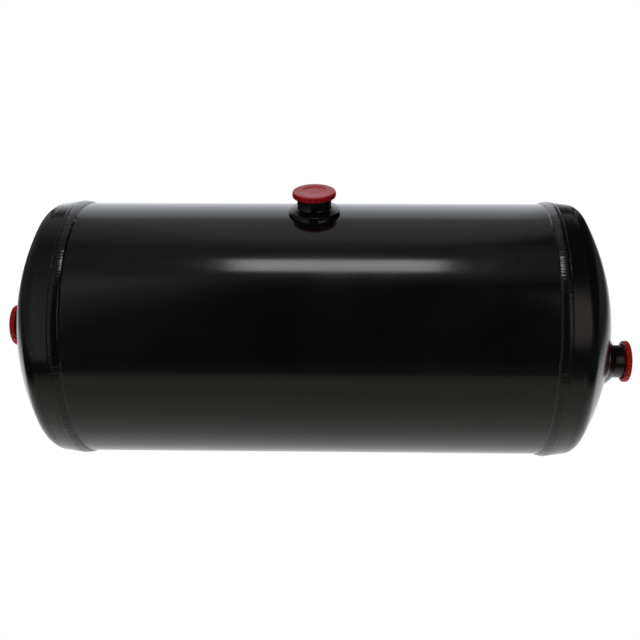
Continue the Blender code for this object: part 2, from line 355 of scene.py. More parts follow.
def head_profile():
    """Rings (radius, x) from the end of the crown out over the knuckle and in to the lip."""
    knuckle = arc(SHELL_R - KNUCKLE_R, knuckle_x, KNUCKLE_R, math.degrees(tangent), 90,
                  KNUCKLE_RINGS)[1:]
    step_start = BEAD_X + STEP_START * BEAD_HALF_WIDTH
    step_end = BEAD_X + STEP_END * BEAD_HALF_WIDTH
    skirt = []
    for i in range(1, SKIRT_RINGS + 1):
        share = i / SKIRT_RINGS
        skirt.append((SHELL_R + SKIRT_RISE * share,
                      knuckle_x + (step_start - knuckle_x) * share))
    joggle = []
    for i in range(1, STEP_RINGS + 1):
        share = i / STEP_RINGS
        drop = (SHELL_R + SKIRT_RISE - LIP_R) * (1 - math.cos(math.pi * share)) / 2
        joggle.append((SHELL_R + SKIRT_RISE - drop,
                       step_start + (step_end - step_start) * share))
    return knuckle + skirt + joggle + [(LIP_R, LIP_END)]


def head(side):
    work = bmesh.new()
    port = ports[side].translation
    crown_r = (SHELL_R - KNUCKLE_R) + KNUCKLE_R * math.sin(tangent)
    crown_x = knuckle_x + KNUCKLE_R * math.cos(tangent)
    bmesh.ops.create_circle(work, cap_ends=False, segments=HEAD_STEPS, radius=crown_r)
    lay_along_x(work)
    bmesh.ops.translate(work, verts=work.verts, vec=(crown_x, 0, 0))
    skirt_rim = work.edges[:]
    for vertex in grow(work, skirt_rim)[0]:
        vertex.co.y = port.y + vertex.co.y * BOSS_HOLE_R / crown_r
        vertex.co.z = port.z + vertex.co.z * BOSS_HOLE_R / crown_r
    spokes = [e for e in work.edges if not e.is_boundary and e not in skirt_rim]
    bmesh.ops.subdivide_edges(work, edges=spokes, cuts=CROWN_RINGS, use_grid_fill=True)
    for vertex in work.verts:
        off_axis = vertex.co.y ** 2 + vertex.co.z ** 2
        vertex.co.x = crown_centre + math.sqrt(CROWN_R ** 2 - off_axis)
    rim = skirt_rim
    for radius, along in head_profile():
        rim = extend(work, rim, radius, along)
    if side == "left":
        bmesh.ops.scale(work, verts=work.verts, vec=(-1, 1, 1))
    thicken(work)
    return finish_piece(work, side + "_head", "tank", "tank_paint", "black paint",
                        "bare steel")


for side in ("left", "right"):
    head(side)

# %% [markdown]
# ## Weld beads
#
# A bead laid by hand or by a turning fixture is never an even strip. The pool freezes in
# crescents, one every few millimetres, its width breathes, and its line wanders. Each bead is
# modelled as a plain crowned strip first. Then every point of the crown is lifted and nudged by
# one function of how far along the bead and how far across it the point lies. The noise is
# smooth and always the same for the same place, so the tank is the same each time it is made.

# %% Weld shape
RIPPLE_PITCH = 2.9 * MM
RIPPLE_HEIGHT = 0.09 * MM
CRESCENT = 1.9 * MM          # how far a ripple's middle runs ahead of its ends
SINK = 0.25 * MM             # how deep a bead's toes are fused into the sheet


def weld_noise(along, scale, kind):
    return noise.noise(Vector((along / scale, 7.3 * kind, 0.0)))


def weld_lift(along, across):
    """How far the weld's surface stands up at a place; across runs from -1 to 1."""
    crown = 1 - across * across
    jitter = 0.35 * weld_noise(along, 11 * MM, 1)
    turn = (along + CRESCENT * across * across) / RIPPLE_PITCH + jitter
    crescent = abs(math.sin(math.pi * turn)) - 0.64
    lump = 0.17 * MM * weld_noise(along, 8 * MM, 2) + 0.1 * MM * weld_noise(along, 3 * MM, 3)
    return crown * (RIPPLE_HEIGHT * crescent + lump)


def weld_shift(along, across):
    """How far the weld's surface is pushed sideways: its line wanders and its toes breathe."""
    wander = 0.25 * MM * weld_noise(along, 35 * MM, 4)
    toe = 0.35 * MM * weld_noise(along, 6 * MM, 5 + math.copysign(0.5, across))
    return wander + toe * across


def crowned(half_width, height, points):
    """The upper line of a bead, from toe to toe: (across, out from the sheet)."""
    line = []
    for i in range(points + 1):
        across = -1 + 2 * i / points
        line.append((across * half_width, (height + SINK) * (1 - abs(across) ** 2.3) - SINK))
    return line


# %% [markdown]
# ## Girth welds
#
# The two girth welds close the tank. Each one fills the gap between the shell's end and the
# head's skirt, over the stepped lip, so its section is a crown with a short root under it. The
# crown isn't even: it ends high on the opened-out skirt, and on the other side it slopes further
# out over the shell before it drops to its toe. The section is spun round the tank and divided
# until each ripple has about five points.

# %% Girth welds
GIRTH_STEPS = 96
GIRTH_FINE = 16               # each step is divided again, for five points to each ripple
ROOT_HALF_WIDTH = 2.0 * MM
SHELL_SIDE_WIDTH = 7.0 * MM   # the bead reaches further out over the shell than over the head
HEAD_TOE = 0.85               # where the bead meets the skirt, as a share of the skirt's rise
HEAD_POWER = 2.2              # how long the crown stays high on the head's side
SLOPE_POWER = 1.6             # the same for the slope on the shell's side
TOE_POWER = 12                # and for the last drop to the shell
CROWN_POINTS = 8              # on each side
EASE_LENGTH = 12 * MM


def girth_section():
    """From the toe on the head, over the crown, to the toe on the shell, and under by the root."""
    rise = BEAD_TOP_R - SHELL_R
    head_toe = HEAD_TOE * SKIRT_RISE - SINK
    crown = []
    for i in range(2 * CROWN_POINTS + 1):
        across = 1 - i / CROWN_POINTS
        if across > 0:
            crown.append((SHELL_R + rise - (rise - head_toe) * across ** HEAD_POWER,
                          across * BEAD_HALF_WIDTH))
        else:
            slope = 0.5 * rise * abs(across) ** SLOPE_POWER
            toe = (0.5 * rise + SINK) * abs(across) ** TOE_POWER
            crown.append((SHELL_R + rise - slope - toe, across * SHELL_SIDE_WIDTH))
    root = [(SHELL_R - SINK, -ROOT_HALF_WIDTH), (LIP_R + GAP, -ROOT_HALF_WIDTH),
            (LIP_R + GAP, ROOT_HALF_WIDTH), (SHELL_R - SINK, ROOT_HALF_WIDTH)]
    return crown + root


def girth_weld(side):
    work = spin_fine(girth_section(), GIRTH_STEPS, GIRTH_FINE)
    start = 0.0 if side == "left" else 400 * MM
    for vertex in work.verts:
        radius = math.hypot(vertex.co.x, vertex.co.y)
        in_root = radius < SHELL_R and abs(vertex.co.z) < 1.01 * ROOT_HALF_WIDTH
        if in_root or radius < SHELL_R - 1.01 * SINK:
            continue
        along = math.atan2(vertex.co.y, vertex.co.x) * SHELL_R
        across = vertex.co.z / (BEAD_HALF_WIDTH if vertex.co.z > 0 else SHELL_SIDE_WIDTH)
        # The two ends of the bead meet where the angle jumps, so they are eased together there.
        ease = min(1.0, (math.pi * SHELL_R - abs(along)) / EASE_LENGTH)
        scale_radius(vertex, 1 + ease * weld_lift(start + along, across) / radius)
        vertex.co.z += ease * weld_shift(start + along, across)
    lay_along_x(work)
    bmesh.ops.translate(work, verts=work.verts, vec=(BEAD_X, 0, 0))
    if side == "left":
        bmesh.ops.scale(work, verts=work.verts, vec=(-1, 1, 1))
    return finish_piece(work, side + "_girth_weld", "tank", "weld_paint", "paint over weld",
                        sharp=60)


for side in ("left", "right"):
    girth_weld(side)

# %% [markdown]
# ## The shell's seam
#
# The seam joins the two edges of the rolled sheet. It is a butt weld, lower and narrower than
# the girth welds, and it sits on the tank's lower rear side, where a bracket or strap doesn't
# rub on it. Its section is laid out as one face, extruded along the tank, and then divided into
# short lengths so that the ripples have points to stand on.

# %% Shell seam
seam_low, seam_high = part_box("shell_seam_weld")
SEAM_HALF_WIDTH = 4.0 * MM
SEAM_HEIGHT = 1.3 * MM
SEAM_ROOT_HALF_WIDTH = 2.2 * MM
SEAM_UNEVENNESS = 0.7         # its ripples are lower than the girth welds'
SEAM_STEPS = 760

seam = bmesh.new()
section = [(across, SHELL_R + out) for across, out in crowned(SEAM_HALF_WIDTH, SEAM_HEIGHT, 12)]
section += [(SEAM_ROOT_HALF_WIDTH, SHELL_R - SINK), (SEAM_ROOT_HALF_WIDTH, SHELL_R - WALL),
            (-SEAM_ROOT_HALF_WIDTH, SHELL_R - WALL), (-SEAM_ROOT_HALF_WIDTH, SHELL_R - SINK)]
points = [seam.verts.new((seam_low.x, across, out)) for across, out in section]
near_end = seam.faces.new(points)
far_end = bmesh.ops.extrude_face_region(seam, geom=[near_end], use_keep_orig=True)["geom"]
far_points = [v for v in far_end if isinstance(v, bmesh.types.BMVert)]
bmesh.ops.translate(seam, verts=far_points, vec=(seam_high.x - seam_low.x, 0, 0))
lengthwise = [e for e in seam.edges if abs(e.verts[0].co.x - e.verts[1].co.x) > SHELL_R]
bmesh.ops.subdivide_edges(seam, edges=lengthwise, cuts=SEAM_STEPS - 1, use_grid_fill=True)
for vertex in seam.verts:
    if vertex.co.z > SHELL_R - 1.01 * SINK:
        across = vertex.co.y / SEAM_HALF_WIDTH
        vertex.co.z += SEAM_UNEVENNESS * weld_lift(1.0 + vertex.co.x, across)
        vertex.co.y += SEAM_UNEVENNESS * weld_shift(1.0 + vertex.co.x, across)
bmesh.ops.rotate(seam, verts=seam.verts, cent=(0, 0, 0),
                 matrix=Matrix.Rotation(-SEAM_ANGLE, 3, "X"))
finish_piece(seam, "shell_seam_weld", "tank", "weld_paint", "paint over weld", sharp=60)

# %% [markdown]
# ## Port bosses
#
# A boss is turned from bar: a spigot that goes through the wall, a coned flange that rests on
# it, and a neck with an M22 x 1.5 thread in its bore. The thread is a real helix. The zigzag of
# its profile is spun round once while it climbs by one pitch, so each thread ends exactly where
# the next one up began, and merging the doubles joins them into one long spiral. It is made too
# long at both ends, faded to the bore's own radius, and pressed flat on the two end planes,
# which leaves two clean circles. The rest of the boss grows from one of them over the outside
# and is joined to the other. Last, the flanges on the heads lean with the dome under them.

# %% Bosses
PORT_STEPS = 96
THREAD_PITCH = 1.5 * MM
BORE_R = 10.25 * MM           # crest of the internal thread
THREAD_ROOT_R = 11.0 * MM
BORE_CHAMFER = 1.2 * MM
FLANGE_R = (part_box("top_port_boss")[1].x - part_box("top_port_boss")[0].x) / 2
FLANGE_TOP = 1.8 * MM
FLANGE_EDGE = 0.9 * MM
SPIGOT_R = 19.5 * MM
NECK_R = 16.0 * MM
CONE_TOP = 4.5 * MM
NECK_ROUND = 0.8 * MM         # rounding at the neck's end
RIM_FOLLOWS = {"top": 0.0, "left": 0.85, "right": 0.85}  # how far a rim leans with the wall


def threaded_bore():
    low = BORE_CHAMFER - BOSS_DEPTH
    high = BOSS_HEIGHT - BORE_CHAMFER
    threads = math.ceil((high - low) / THREAD_PITCH) + 2
    profile = [(0.0, BORE_R), (0.25, BORE_R), (0.56, THREAD_ROOT_R), (0.69, THREAD_ROOT_R)]
    work = bmesh.new()
    points = [work.verts.new((r, 0, low + (thread + share - 1.5) * THREAD_PITCH))
              for thread in range(threads) for share, r in profile]
    edges = [work.edges.new(pair) for pair in zip(points, points[1:])]
    bmesh.ops.spin(work, geom=points + edges, cent=(0, 0, 0), axis=(0, 0, 1),
                   dvec=(0, 0, THREAD_PITCH / PORT_STEPS), angle=2 * math.pi,
                   steps=PORT_STEPS, use_merge=False)
    bmesh.ops.remove_doubles(work, verts=work.verts, dist=1e-6)
    for vertex in work.verts:
        radius = math.hypot(vertex.co.x, vertex.co.y)
        inside = min(vertex.co.z - low, high - vertex.co.z) / THREAD_PITCH
        depth = (radius - BORE_R) * min(1.0, max(0.0, inside))
        scale_radius(vertex, (BORE_R + depth) / radius)
        vertex.co.z = min(high, max(low, vertex.co.z))
    bmesh.ops.remove_doubles(work, verts=work.verts, dist=1e-6)
    return work


def boss_outline():
    """The outside of a boss, from the bore's upper edge down to its lower edge."""
    edge = FLANGE_EDGE / 2
    flange = arc(FLANGE_R - edge, FLANGE_TOP - edge, edge, 20, 170, 10)
    cone_foot = (NECK_R, CONE_TOP)
    into_cone = Vector(flange[0]) - Vector(cone_foot)
    blend = [Vector(cone_foot) + into_cone * share for share in (0.06, 0.5, 0.96)]
    return [
        (BORE_R + BORE_CHAMFER, BOSS_HEIGHT),
        (NECK_R - NECK_ROUND, BOSS_HEIGHT),
        *arc(NECK_R - NECK_ROUND, BOSS_HEIGHT - NECK_ROUND, NECK_ROUND, 15, 75, 3),
        (NECK_R, BOSS_HEIGHT - NECK_ROUND),
        (NECK_R, CONE_TOP + 0.7 * MM),
        *[tuple(p) for p in blend],
        *flange,
        (SPIGOT_R, 0.0),
        (SPIGOT_R, -BOSS_DEPTH),
        (BORE_R + BORE_CHAMFER, -BOSS_DEPTH),
    ]


def boss(side):
    work = threaded_bore()
    rims = [e for e in work.edges if e.is_boundary]
    upper = [e for e in rims if e.verts[0].co.z > 0]
    lower = [e for e in rims if e.verts[0].co.z < 0]
    rim = upper
    for radius, height in boss_outline():
        points, rim, _ = grow(work, rim)
        for vertex in points:
            around = Vector((vertex.co.x, vertex.co.y)).normalized() * radius
            vertex.co = (around.x, around.y, height)
    bmesh.ops.bridge_loops(work, edges=rim + lower)
    for vertex in work.verts:
        share = (math.hypot(vertex.co.x, vertex.co.y) - NECK_R) / (FLANGE_R - NECK_R)
        if share > 0.01 and vertex.co.z > -GAP:
            vertex.co.z += RIM_FOLLOWS[side] * share * wall_height(side, vertex.co)
    bmesh.ops.recalc_face_normals(work, faces=work.faces)
    for face in work.faces:
        middle = face.calc_center_median()
        in_bore = math.hypot(middle.x, middle.y) < BORE_R + BORE_CHAMFER
        face.material_index = int(in_bore or middle.z < -WALL)
    bmesh.ops.transform(work, matrix=ports[side], verts=work.verts)
    return finish_piece(work, side + "_port_boss", "tank", "boss_paint", "paint on boss",
                        "machined thread")


for side in ports:
    boss(side)

# %% [markdown]
# ## Fillets under the flanges
#
# A fillet weld runs round under each flange. The wall under it isn't flat: it falls away in
# front of and behind the top port, and slopes under the two end ports. So after the ring has
# been spun, each point is set between the flange's rim and the wall. On the heads the fillet
# also flares out on its way down, by more where the gap is taller.

# %% Port fillets
FILLET_STEPS = 224
FILLET_RINGS = 8
FILLET_DEPTH = 3 * MM         # how far it runs in under the flange
FILLET_EASE = 0.3             # angle over which its two ends are eased together
FILLET_START = {"top": 1.6 * MM, "left": 0.1 * MM, "right": 0.1 * MM}  # in from the rim
FILLET_REACH = {"top": 0.3, "left": 3.5, "right": 3.5}  # out for each unit of gap


def port_fillet(side):
    # Spun with its height as a share of the way down: 0 at the rim of the flange, 1 at the wall.
    inner, outer = FLANGE_R - FILLET_DEPTH, FLANGE_R - FILLET_START[side]
    outline = [(inner, 0.0)] + [(outer, -i / FILLET_RINGS) for i in range(FILLET_RINGS + 1)]
    work = spin_outline(outline + [(inner, -1.0)], FILLET_STEPS, closed=True)
    for vertex in work.verts:
        around = math.atan2(vertex.co.y, vertex.co.x)
        radius = math.hypot(vertex.co.x, vertex.co.y)
        out = Vector((math.cos(around), math.sin(around)))
        share = -vertex.co.z
        fall = wall_height(side, out * FLANGE_R)
        rim = RIM_FOLLOWS[side] * fall + FLANGE_TOP - 0.3 * FLANGE_EDGE
        if radius > inner + GAP:
            ease = min(1.0, (math.pi - abs(around)) / FILLET_EASE)
            ripple = weld_lift(2.0 + around * radius, 2 * share - 1) * ease
            radius += FILLET_REACH[side] * (rim - fall) * share ** 2 + ripple
        vertex.co.x, vertex.co.y = out * radius
        vertex.co.z = rim + share * (wall_height(side, vertex.co) - SINK - rim)
    bmesh.ops.transform(work, matrix=ports[side], verts=work.verts)
    return finish_piece(work, side + "_port_weld", "tank", "weld_paint", "paint over weld",
                        sharp=60)


for side in ports:
    port_fillet(side)

# %% [markdown]
# ## Port caps
#
# The caps are moulded plastic plugs. A grip flange with twenty finger lobes stands on the boss,
# cored out from below so that it stays thin, a collar centres it in the chamfer, and a hollow
# stem with three barbs holds in the thread. The section is spun, and then the lobes are pressed
# in: narrow grooves between wide lobes, deepest at mid-height and fading out over the rounded
# top edge.

# %% Caps
cap_low, cap_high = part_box("top_port_cap")
CAP_R = (cap_high.y - cap_low.y) / 2
CAP_THICKNESS = cap_high.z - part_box("top_port_boss")[1].z - GAP
CAP_SKIRT_R = 17.2 * MM
CAP_COLLAR_R = 11.0 * MM
STEM_R = 9.4 * MM
BARB_R = 9.92 * MM
STEM_WALL = 1.4 * MM
STEM_LENGTH = 11.8 * MM
BARBS = 3
BARB_START = 0.4              # the first barb's place in its share of the stem
CAP_WEB = 2.0 * MM
RECESS_R = 11.6 * MM
RECESS = 0.4 * MM
LOBES = 20
LOBE_STEPS = 16
GROOVE_DEPTH = 1.0 * MM
GROOVE_HALF_WIDTH = 0.95 * MM
CAP_EDGE = 1.6 * MM
CAP_FOOT = 0.9 * MM


def cap_outline():
    """Half section of a cap, from the middle of its face round the flange to the stem's inside."""
    top = CAP_THICKNESS
    face = top - RECESS
    web = top - CAP_WEB
    cone_end = -GAP - (CAP_COLLAR_R - STEM_R)
    outline = [(0.0, face), (RECESS_R / 2, face), (RECESS_R - 0.3 * MM, face)]
    outline += [(RECESS_R, face + 0.1 * MM), (RECESS_R + 0.35 * MM, top - 0.08 * MM),
                (RECESS_R + 0.7 * MM, top)]
    outline += arc(CAP_R - CAP_EDGE, top - CAP_EDGE, CAP_EDGE, 0, 90, 8)
    outline += [(CAP_R, 0.3 * top)]
    outline += arc(CAP_R - CAP_FOOT, CAP_FOOT, CAP_FOOT, 90, 180, 5)
    outline += [(CAP_SKIRT_R + 0.3 * MM, 0.0), (CAP_SKIRT_R, 0.3 * MM), (CAP_SKIRT_R, web),
                (CAP_COLLAR_R, web), (CAP_COLLAR_R, -GAP), (STEM_R, cone_end)]
    pitch = (STEM_LENGTH + cone_end) / BARBS
    for barb in range(BARBS):
        crest = cone_end - (barb + BARB_START) * pitch
        outline += [(STEM_R, crest), (BARB_R, crest - 0.1 * MM)]
    inside = STEM_R - STEM_WALL
    outline += [(STEM_R - 0.3 * MM, -STEM_LENGTH), (inside + 0.3 * MM, -STEM_LENGTH),
                (inside, -STEM_LENGTH + 0.3 * MM), (inside, face - CAP_WEB - 0.6 * MM),
                (inside - 0.6 * MM, face - CAP_WEB), (0.0, face - CAP_WEB)]
    return outline


def groove(around):
    """Depth of the grooves between the lobes, as a share, at an angle round the cap."""
    lobe = 2 * math.pi / LOBES
    from_groove = (around % lobe - lobe / 2) * CAP_R
    return max(0.0, 1 - (from_groove / GROOVE_HALF_WIDTH) ** 2) ** 0.7


def cap(side):
    work = spin_outline(cap_outline(), LOBES * LOBE_STEPS)
    for vertex in work.verts:
        radius = math.hypot(vertex.co.x, vertex.co.y)
        if radius > CAP_SKIRT_R + 0.5 * MM:
            low_share = min(1.0, max(0.0, (CAP_THICKNESS - vertex.co.z) / CAP_EDGE - 0.35))
            press = GROOVE_DEPTH * groove(math.atan2(vertex.co.y, vertex.co.x)) * low_share
            edge_share = min(1.0, (radius - CAP_SKIRT_R) / (CAP_R - CAP_SKIRT_R))
            scale_radius(vertex, 1 - press * edge_share / radius)
    seat = ports[side] @ Matrix.Translation((0, 0, BOSS_HEIGHT + GAP))
    bmesh.ops.transform(work, matrix=seat, verts=work.verts)
    return finish_piece(work, side + "_port_cap", side + "_cap", "cap_plastic",
                        "red cap plastic")


for side in ports:
    cap(side)

# %% [markdown]
# # Finishes
#
# Materials are node trees. Writing one in code is mostly adding nodes and joining sockets, so
# small helpers do that. `add` makes a node and fills its inputs, with a number or with another
# node's output. `new_group` makes a node group with named inputs and outputs, and `use` places
# it. A group is an effect on its own, such as orange peel, that several finishes use with their
# own numbers.

# %% Node helpers
def add(tree, kind, inputs=None, **settings):
    made = tree.nodes.new(kind)
    for name, value in settings.items():
        setattr(made, name, value)
    for name, value in (inputs or {}).items():
        if isinstance(value, bpy.types.NodeSocket):
            tree.links.new(value, made.inputs[name])
        else:
            made.inputs[name].default_value = value
    return made


def calculate(tree, operation, *values, clamp=False):
    return add(tree, "ShaderNodeMath", dict(enumerate(values)), operation=operation,
               use_clamp=clamp).outputs[0]


def spread(tree, value, low, high, new_low=0.0, new_high=1.0):
    """Stretch a value's range, and hold it inside the new one."""
    return add(tree, "ShaderNodeMapRange", {"Value": value, "From Min": low, "From Max": high,
                                            "To Min": new_low, "To Max": new_high},
               interpolation_type="SMOOTHSTEP").outputs["Result"]


def clouds(tree, place, scale, detail, distortion=0.0):
    """Smooth noise, about 0.5; detail lays finer noise over it."""
    return add(tree, "ShaderNodeTexNoise", {"Vector": place, "Scale": scale, "Detail": detail,
                                            "Distortion": distortion}).outputs["Fac"]


def bump(tree, height, distance):
    """A relief whose height runs from 0 to 1, and stands for this distance."""
    return add(tree, "ShaderNodeBump", {"Height": height, "Distance": distance}).outputs["Normal"]


def blend(tree, share, first, second):
    mixed = add(tree, "ShaderNodeMix", data_type="RGBA")
    for index, value in ((0, share), (6, first), (7, second)):
        if isinstance(value, bpy.types.NodeSocket):
            tree.links.new(value, mixed.inputs[index])
        elif index:
            mixed.inputs[index].default_value = (*value, 1.0)
        else:
            mixed.inputs[index].default_value = value
    return mixed.outputs[2]


def new_group(name, inputs, outputs):
    """An empty group, with its input and output nodes; an input's default sets its kind."""
    tree = bpy.data.node_groups.new(name, "ShaderNodeTree")
    for socket, default in inputs.items():
        kind = "NodeSocketVector" if default is None else "NodeSocketFloat"
        made = tree.interface.new_socket(socket, in_out="INPUT", socket_type=kind)
        if default is not None:
            made.default_value = default
    for socket in outputs:
        tree.interface.new_socket(socket, in_out="OUTPUT", socket_type="NodeSocketFloat")
    return tree, tree.nodes.new("NodeGroupInput").outputs, tree.nodes.new("NodeGroupOutput")


def fill(tree, node, **inputs):
    """Fill a node's inputs; _ in a name stands for a space."""
    for name, value in inputs.items():
        socket = node.inputs[name.replace("_", " ")]
        if isinstance(value, bpy.types.NodeSocket):
            tree.links.new(value, socket)
        else:
            socket.default_value = value


def use(tree, group, **inputs):
    """Place a group in a tree and fill its inputs; give back its outputs."""
    placed = add(tree, "ShaderNodeGroup", node_tree=group)
    fill(tree, placed, **inputs)
    return placed.outputs


# %% [markdown]
# ## Orange peel
#
# Sprayed paint never dries quite flat. It keeps a skin of low, soft cells, which is why the edge
# of a reflection in it is mottled and not ruled. Two noises make the cells: one at the size of
# the cell and one finer. The group gives a height from 0 to 1, and each finish decides how many
# micrometres that is worth.

# %% Orange peel group
orange_peel, given, result = new_group("orange peel", {"Vector": None, "Cell": 0.002}, ["Height"])
per_metre = calculate(orange_peel, "DIVIDE", 1.0, given["Cell"])
broad = clouds(orange_peel, given["Vector"], per_metre, 1.0)
narrow = clouds(orange_peel, given["Vector"], calculate(orange_peel, "MULTIPLY", per_metre, 2.7),
                0.0)
height = calculate(orange_peel, "MULTIPLY_ADD", narrow, 0.3,
                   calculate(orange_peel, "MULTIPLY", broad, 0.7))
orange_peel.links.new(height, result.inputs["Height"])

# %% [markdown]
# ## Handling haze and dust
#
# A painted tank that has been stacked, wiped and packed has a faint haze on it: wide soft
# patches where the gloss is a little lower, and thin dry streaks. Dust settles on what faces up.
# Both only change roughness and tone by a little, but without them a large black surface looks
# like glass.

# %% Haze and dust groups
haze_group, given, result = new_group("handling haze", {"Vector": None, "Patch": 0.09}, ["Haze"])
per_metre = calculate(haze_group, "DIVIDE", 1.0, given["Patch"])
patches = clouds(haze_group, given["Vector"], per_metre, 4.0, 0.6)
drawn_out = add(haze_group, "ShaderNodeMapping", {"Vector": given["Vector"],
                                                  "Rotation": (0.2, 0.1, 0.5),
                                                  "Scale": (9.0, 140.0, 60.0)})
streaks = clouds(haze_group, drawn_out.outputs["Vector"], 1.0, 2.0)
soft = spread(haze_group, patches, 0.42, 0.72)
thin = spread(haze_group, streaks, 0.56, 0.74)
haze_group.links.new(calculate(haze_group, "MULTIPLY_ADD", thin, 0.35, soft, clamp=True),
                     result.inputs["Haze"])

dust_group, given, result = new_group("settled dust", {"Vector": None, "Grain": 0.0012}, ["Dust"])
facing = add(dust_group, "ShaderNodeSeparateXYZ",
             {"Vector": add(dust_group, "ShaderNodeNewGeometry").outputs["Normal"]})
upward = spread(dust_group, facing.outputs["Z"], 0.55, 1.0)
grains = add(dust_group, "ShaderNodeTexVoronoi",
             {"Vector": given["Vector"], "Scale": calculate(dust_group, "DIVIDE", 1.0,
                                                            given["Grain"])})
specks = spread(dust_group, grains.outputs["Distance"], 0.24, 0.06)
drifts = spread(dust_group, clouds(dust_group, given["Vector"], 60.0, 3.0), 0.45, 0.75)
dust = calculate(dust_group, "MULTIPLY", calculate(dust_group, "MULTIPLY", specks, drifts), upward)
dust_group.links.new(dust, result.inputs["Dust"])

# %% [markdown]
# ## Black paint
#
# The tank is sprayed in one coat of semi-gloss black chassis paint. Black paint shows almost
# nothing of its own: what the eye reads is reflection, so the work goes into roughness and
# relief. The base is a dark grey close to black, the gloss drops a little in the haze, and two
# bumps, orange peel and the slow waviness of rolled and pressed sheet, bend the reflections.

# %% Black paint
materials = {}


def new_finish(name):
    material = bpy.data.materials.new(name)
    material.use_nodes = True
    materials[name] = material
    tree = material.node_tree
    place = add(tree, "ShaderNodeTexCoord").outputs["Object"]
    return tree, tree.nodes["Principled BSDF"], place


def painted(name, gloss, cell, peel_height, wave_height):
    """Semi-gloss black paint; gloss is its roughness where it is clean."""
    tree, shader, place = new_finish(name)
    haze = use(tree, haze_group, Vector=place)["Haze"]
    dust = use(tree, dust_group, Vector=place)["Dust"]
    dulled = blend(tree, haze, (0.0060, 0.0060, 0.0062), (0.0088, 0.0086, 0.0086))
    colour = blend(tree, calculate(tree, "MULTIPLY", dust, 0.06), dulled, (0.30, 0.29, 0.27))
    rough = calculate(tree, "MULTIPLY_ADD", haze, 0.05, gloss)
    rough = calculate(tree, "MULTIPLY_ADD", dust, 0.2, rough)
    wavy = bump(tree, clouds(tree, place, 14.0, 1.0), wave_height)
    peel = use(tree, orange_peel, Vector=place, Cell=cell)["Height"]
    skin = add(tree, "ShaderNodeBump", {"Height": peel, "Distance": peel_height, "Normal": wavy})
    fill(tree, shader, Base_Color=colour, Roughness=rough, Normal=skin.outputs["Normal"])
    shader.inputs["IOR"].default_value = 1.5
    return tree, shader, place


MICRON = 1e-6
painted("black paint", 0.13, 2.4 * MM, 14 * MICRON, 40 * MICRON)
painted("paint over weld", 0.17, 1.3 * MM, 30 * MICRON, 60 * MICRON)
painted("paint on boss", 0.17, 1.6 * MM, 12 * MICRON, 10 * MICRON)

# %% [markdown]
# ## Steel that isn't painted
#
# The threads are cut after painting, or masked, so they are bright turned steel with a film of
# preserving oil. The inside of the tank is bare: grey-brown mill scale with patches of rust.
# Neither is seen until a cap is pulled.

# %% Steel finishes
tree, shader, place = new_finish("machined thread")
oil = clouds(tree, place, 180.0, 3.0)
film = spread(tree, oil, 0.4, 0.7)
fill(tree, shader, Metallic=1.0,
     Base_Color=blend(tree, film, (0.46, 0.45, 0.43), (0.27, 0.25, 0.21)),
     Roughness=spread(tree, oil, 0.35, 0.7, 0.22, 0.42),
     Normal=bump(tree, clouds(tree, place, 2600.0, 1.0), 8 * MICRON))

tree, shader, place = new_finish("bare steel")
scale_marks = clouds(tree, place, 55.0, 6.0, 0.4)
bare = blend(tree, scale_marks, (0.065, 0.062, 0.060), (0.17, 0.165, 0.155))
rusty = spread(tree, clouds(tree, place, 16.0, 5.0), 0.56, 0.72, 0.0, 0.55)
fill(tree, shader, Base_Color=blend(tree, rusty, bare, (0.14, 0.055, 0.022)),
     Metallic=calculate(tree, "MULTIPLY_ADD", rusty, -0.7, 0.55),
     Roughness=spread(tree, scale_marks, 0.3, 0.7, 0.42, 0.68),
     Normal=bump(tree, scale_marks, 60 * MICRON))

# %% [markdown]
# ## Red cap plastic
#
# The caps are soft polyethylene, coloured right through. It is a saturated red with a waxy,
# half-dull skin: the mould leaves a fine grain on it, the colour swims a little where the melt
# flowed, and handling polishes and dirties it in patches.

# %% Red plastic
plastic_grain, given, result = new_group("moulded grain", {"Vector": None, "Grain": 0.0004},
                                         ["Height", "Flow"])
per_metre = calculate(plastic_grain, "DIVIDE", 1.0, given["Grain"])
fine = clouds(plastic_grain, given["Vector"], per_metre, 2.0)
flow = clouds(plastic_grain, given["Vector"], 130.0, 3.0, 1.2)
plastic_grain.links.new(fine, result.inputs["Height"])
plastic_grain.links.new(spread(plastic_grain, flow, 0.3, 0.7), result.inputs["Flow"])

tree, shader, place = new_finish("red cap plastic")
moulded = use(tree, plastic_grain, Vector=place)
dust = use(tree, dust_group, Vector=place, Grain=0.0009)["Dust"]
red = blend(tree, moulded["Flow"], (0.74, 0.010, 0.016), (0.84, 0.014, 0.022))
fill(tree, shader,
     Base_Color=blend(tree, calculate(tree, "MULTIPLY", dust, 0.12), red, (0.62, 0.42, 0.38)),
     Roughness=calculate(tree, "MULTIPLY_ADD", moulded["Flow"], 0.08, 0.34),
     Normal=bump(tree, moulded["Height"], 12 * MICRON))
shader.inputs["IOR"].default_value = 1.5
shader.inputs["Specular IOR Level"].default_value = 0.3

# %% Put the finishes on the pieces
for name, wanted in finishes.items():
    for finish in wanted:
        bpy.data.objects[name].data.materials.append(materials[finish])
print("finishes:", sorted(materials))

# %% [markdown]
# # The studio
#
# The tank lies on a white sweep: a table that runs back and curves up into a wall. A glossy
# black tube is lit by what it reflects, so the sweep, the softbox and the dark room in front of
# the table are all light sources here. The sweep is white to the camera. To every other ray it
# glows as a real table under a softbox would: dim at its front edge, bright under the tank and up
# the wall behind, and fading out to both sides. It is a little warm in front and cool behind.

# %% Sweep
FLOOR_Z = -BEAD_TOP_R - GAP
SWEEP_FRONT = -0.85
SWEEP_BACK = 1.25
SWEEP_TOP = 0.98
SWEEP_LEFT = -0.9
SWEEP_RIGHT = 0.68
SWEEP_GLOW = 1.25
COVE_R = 0.35
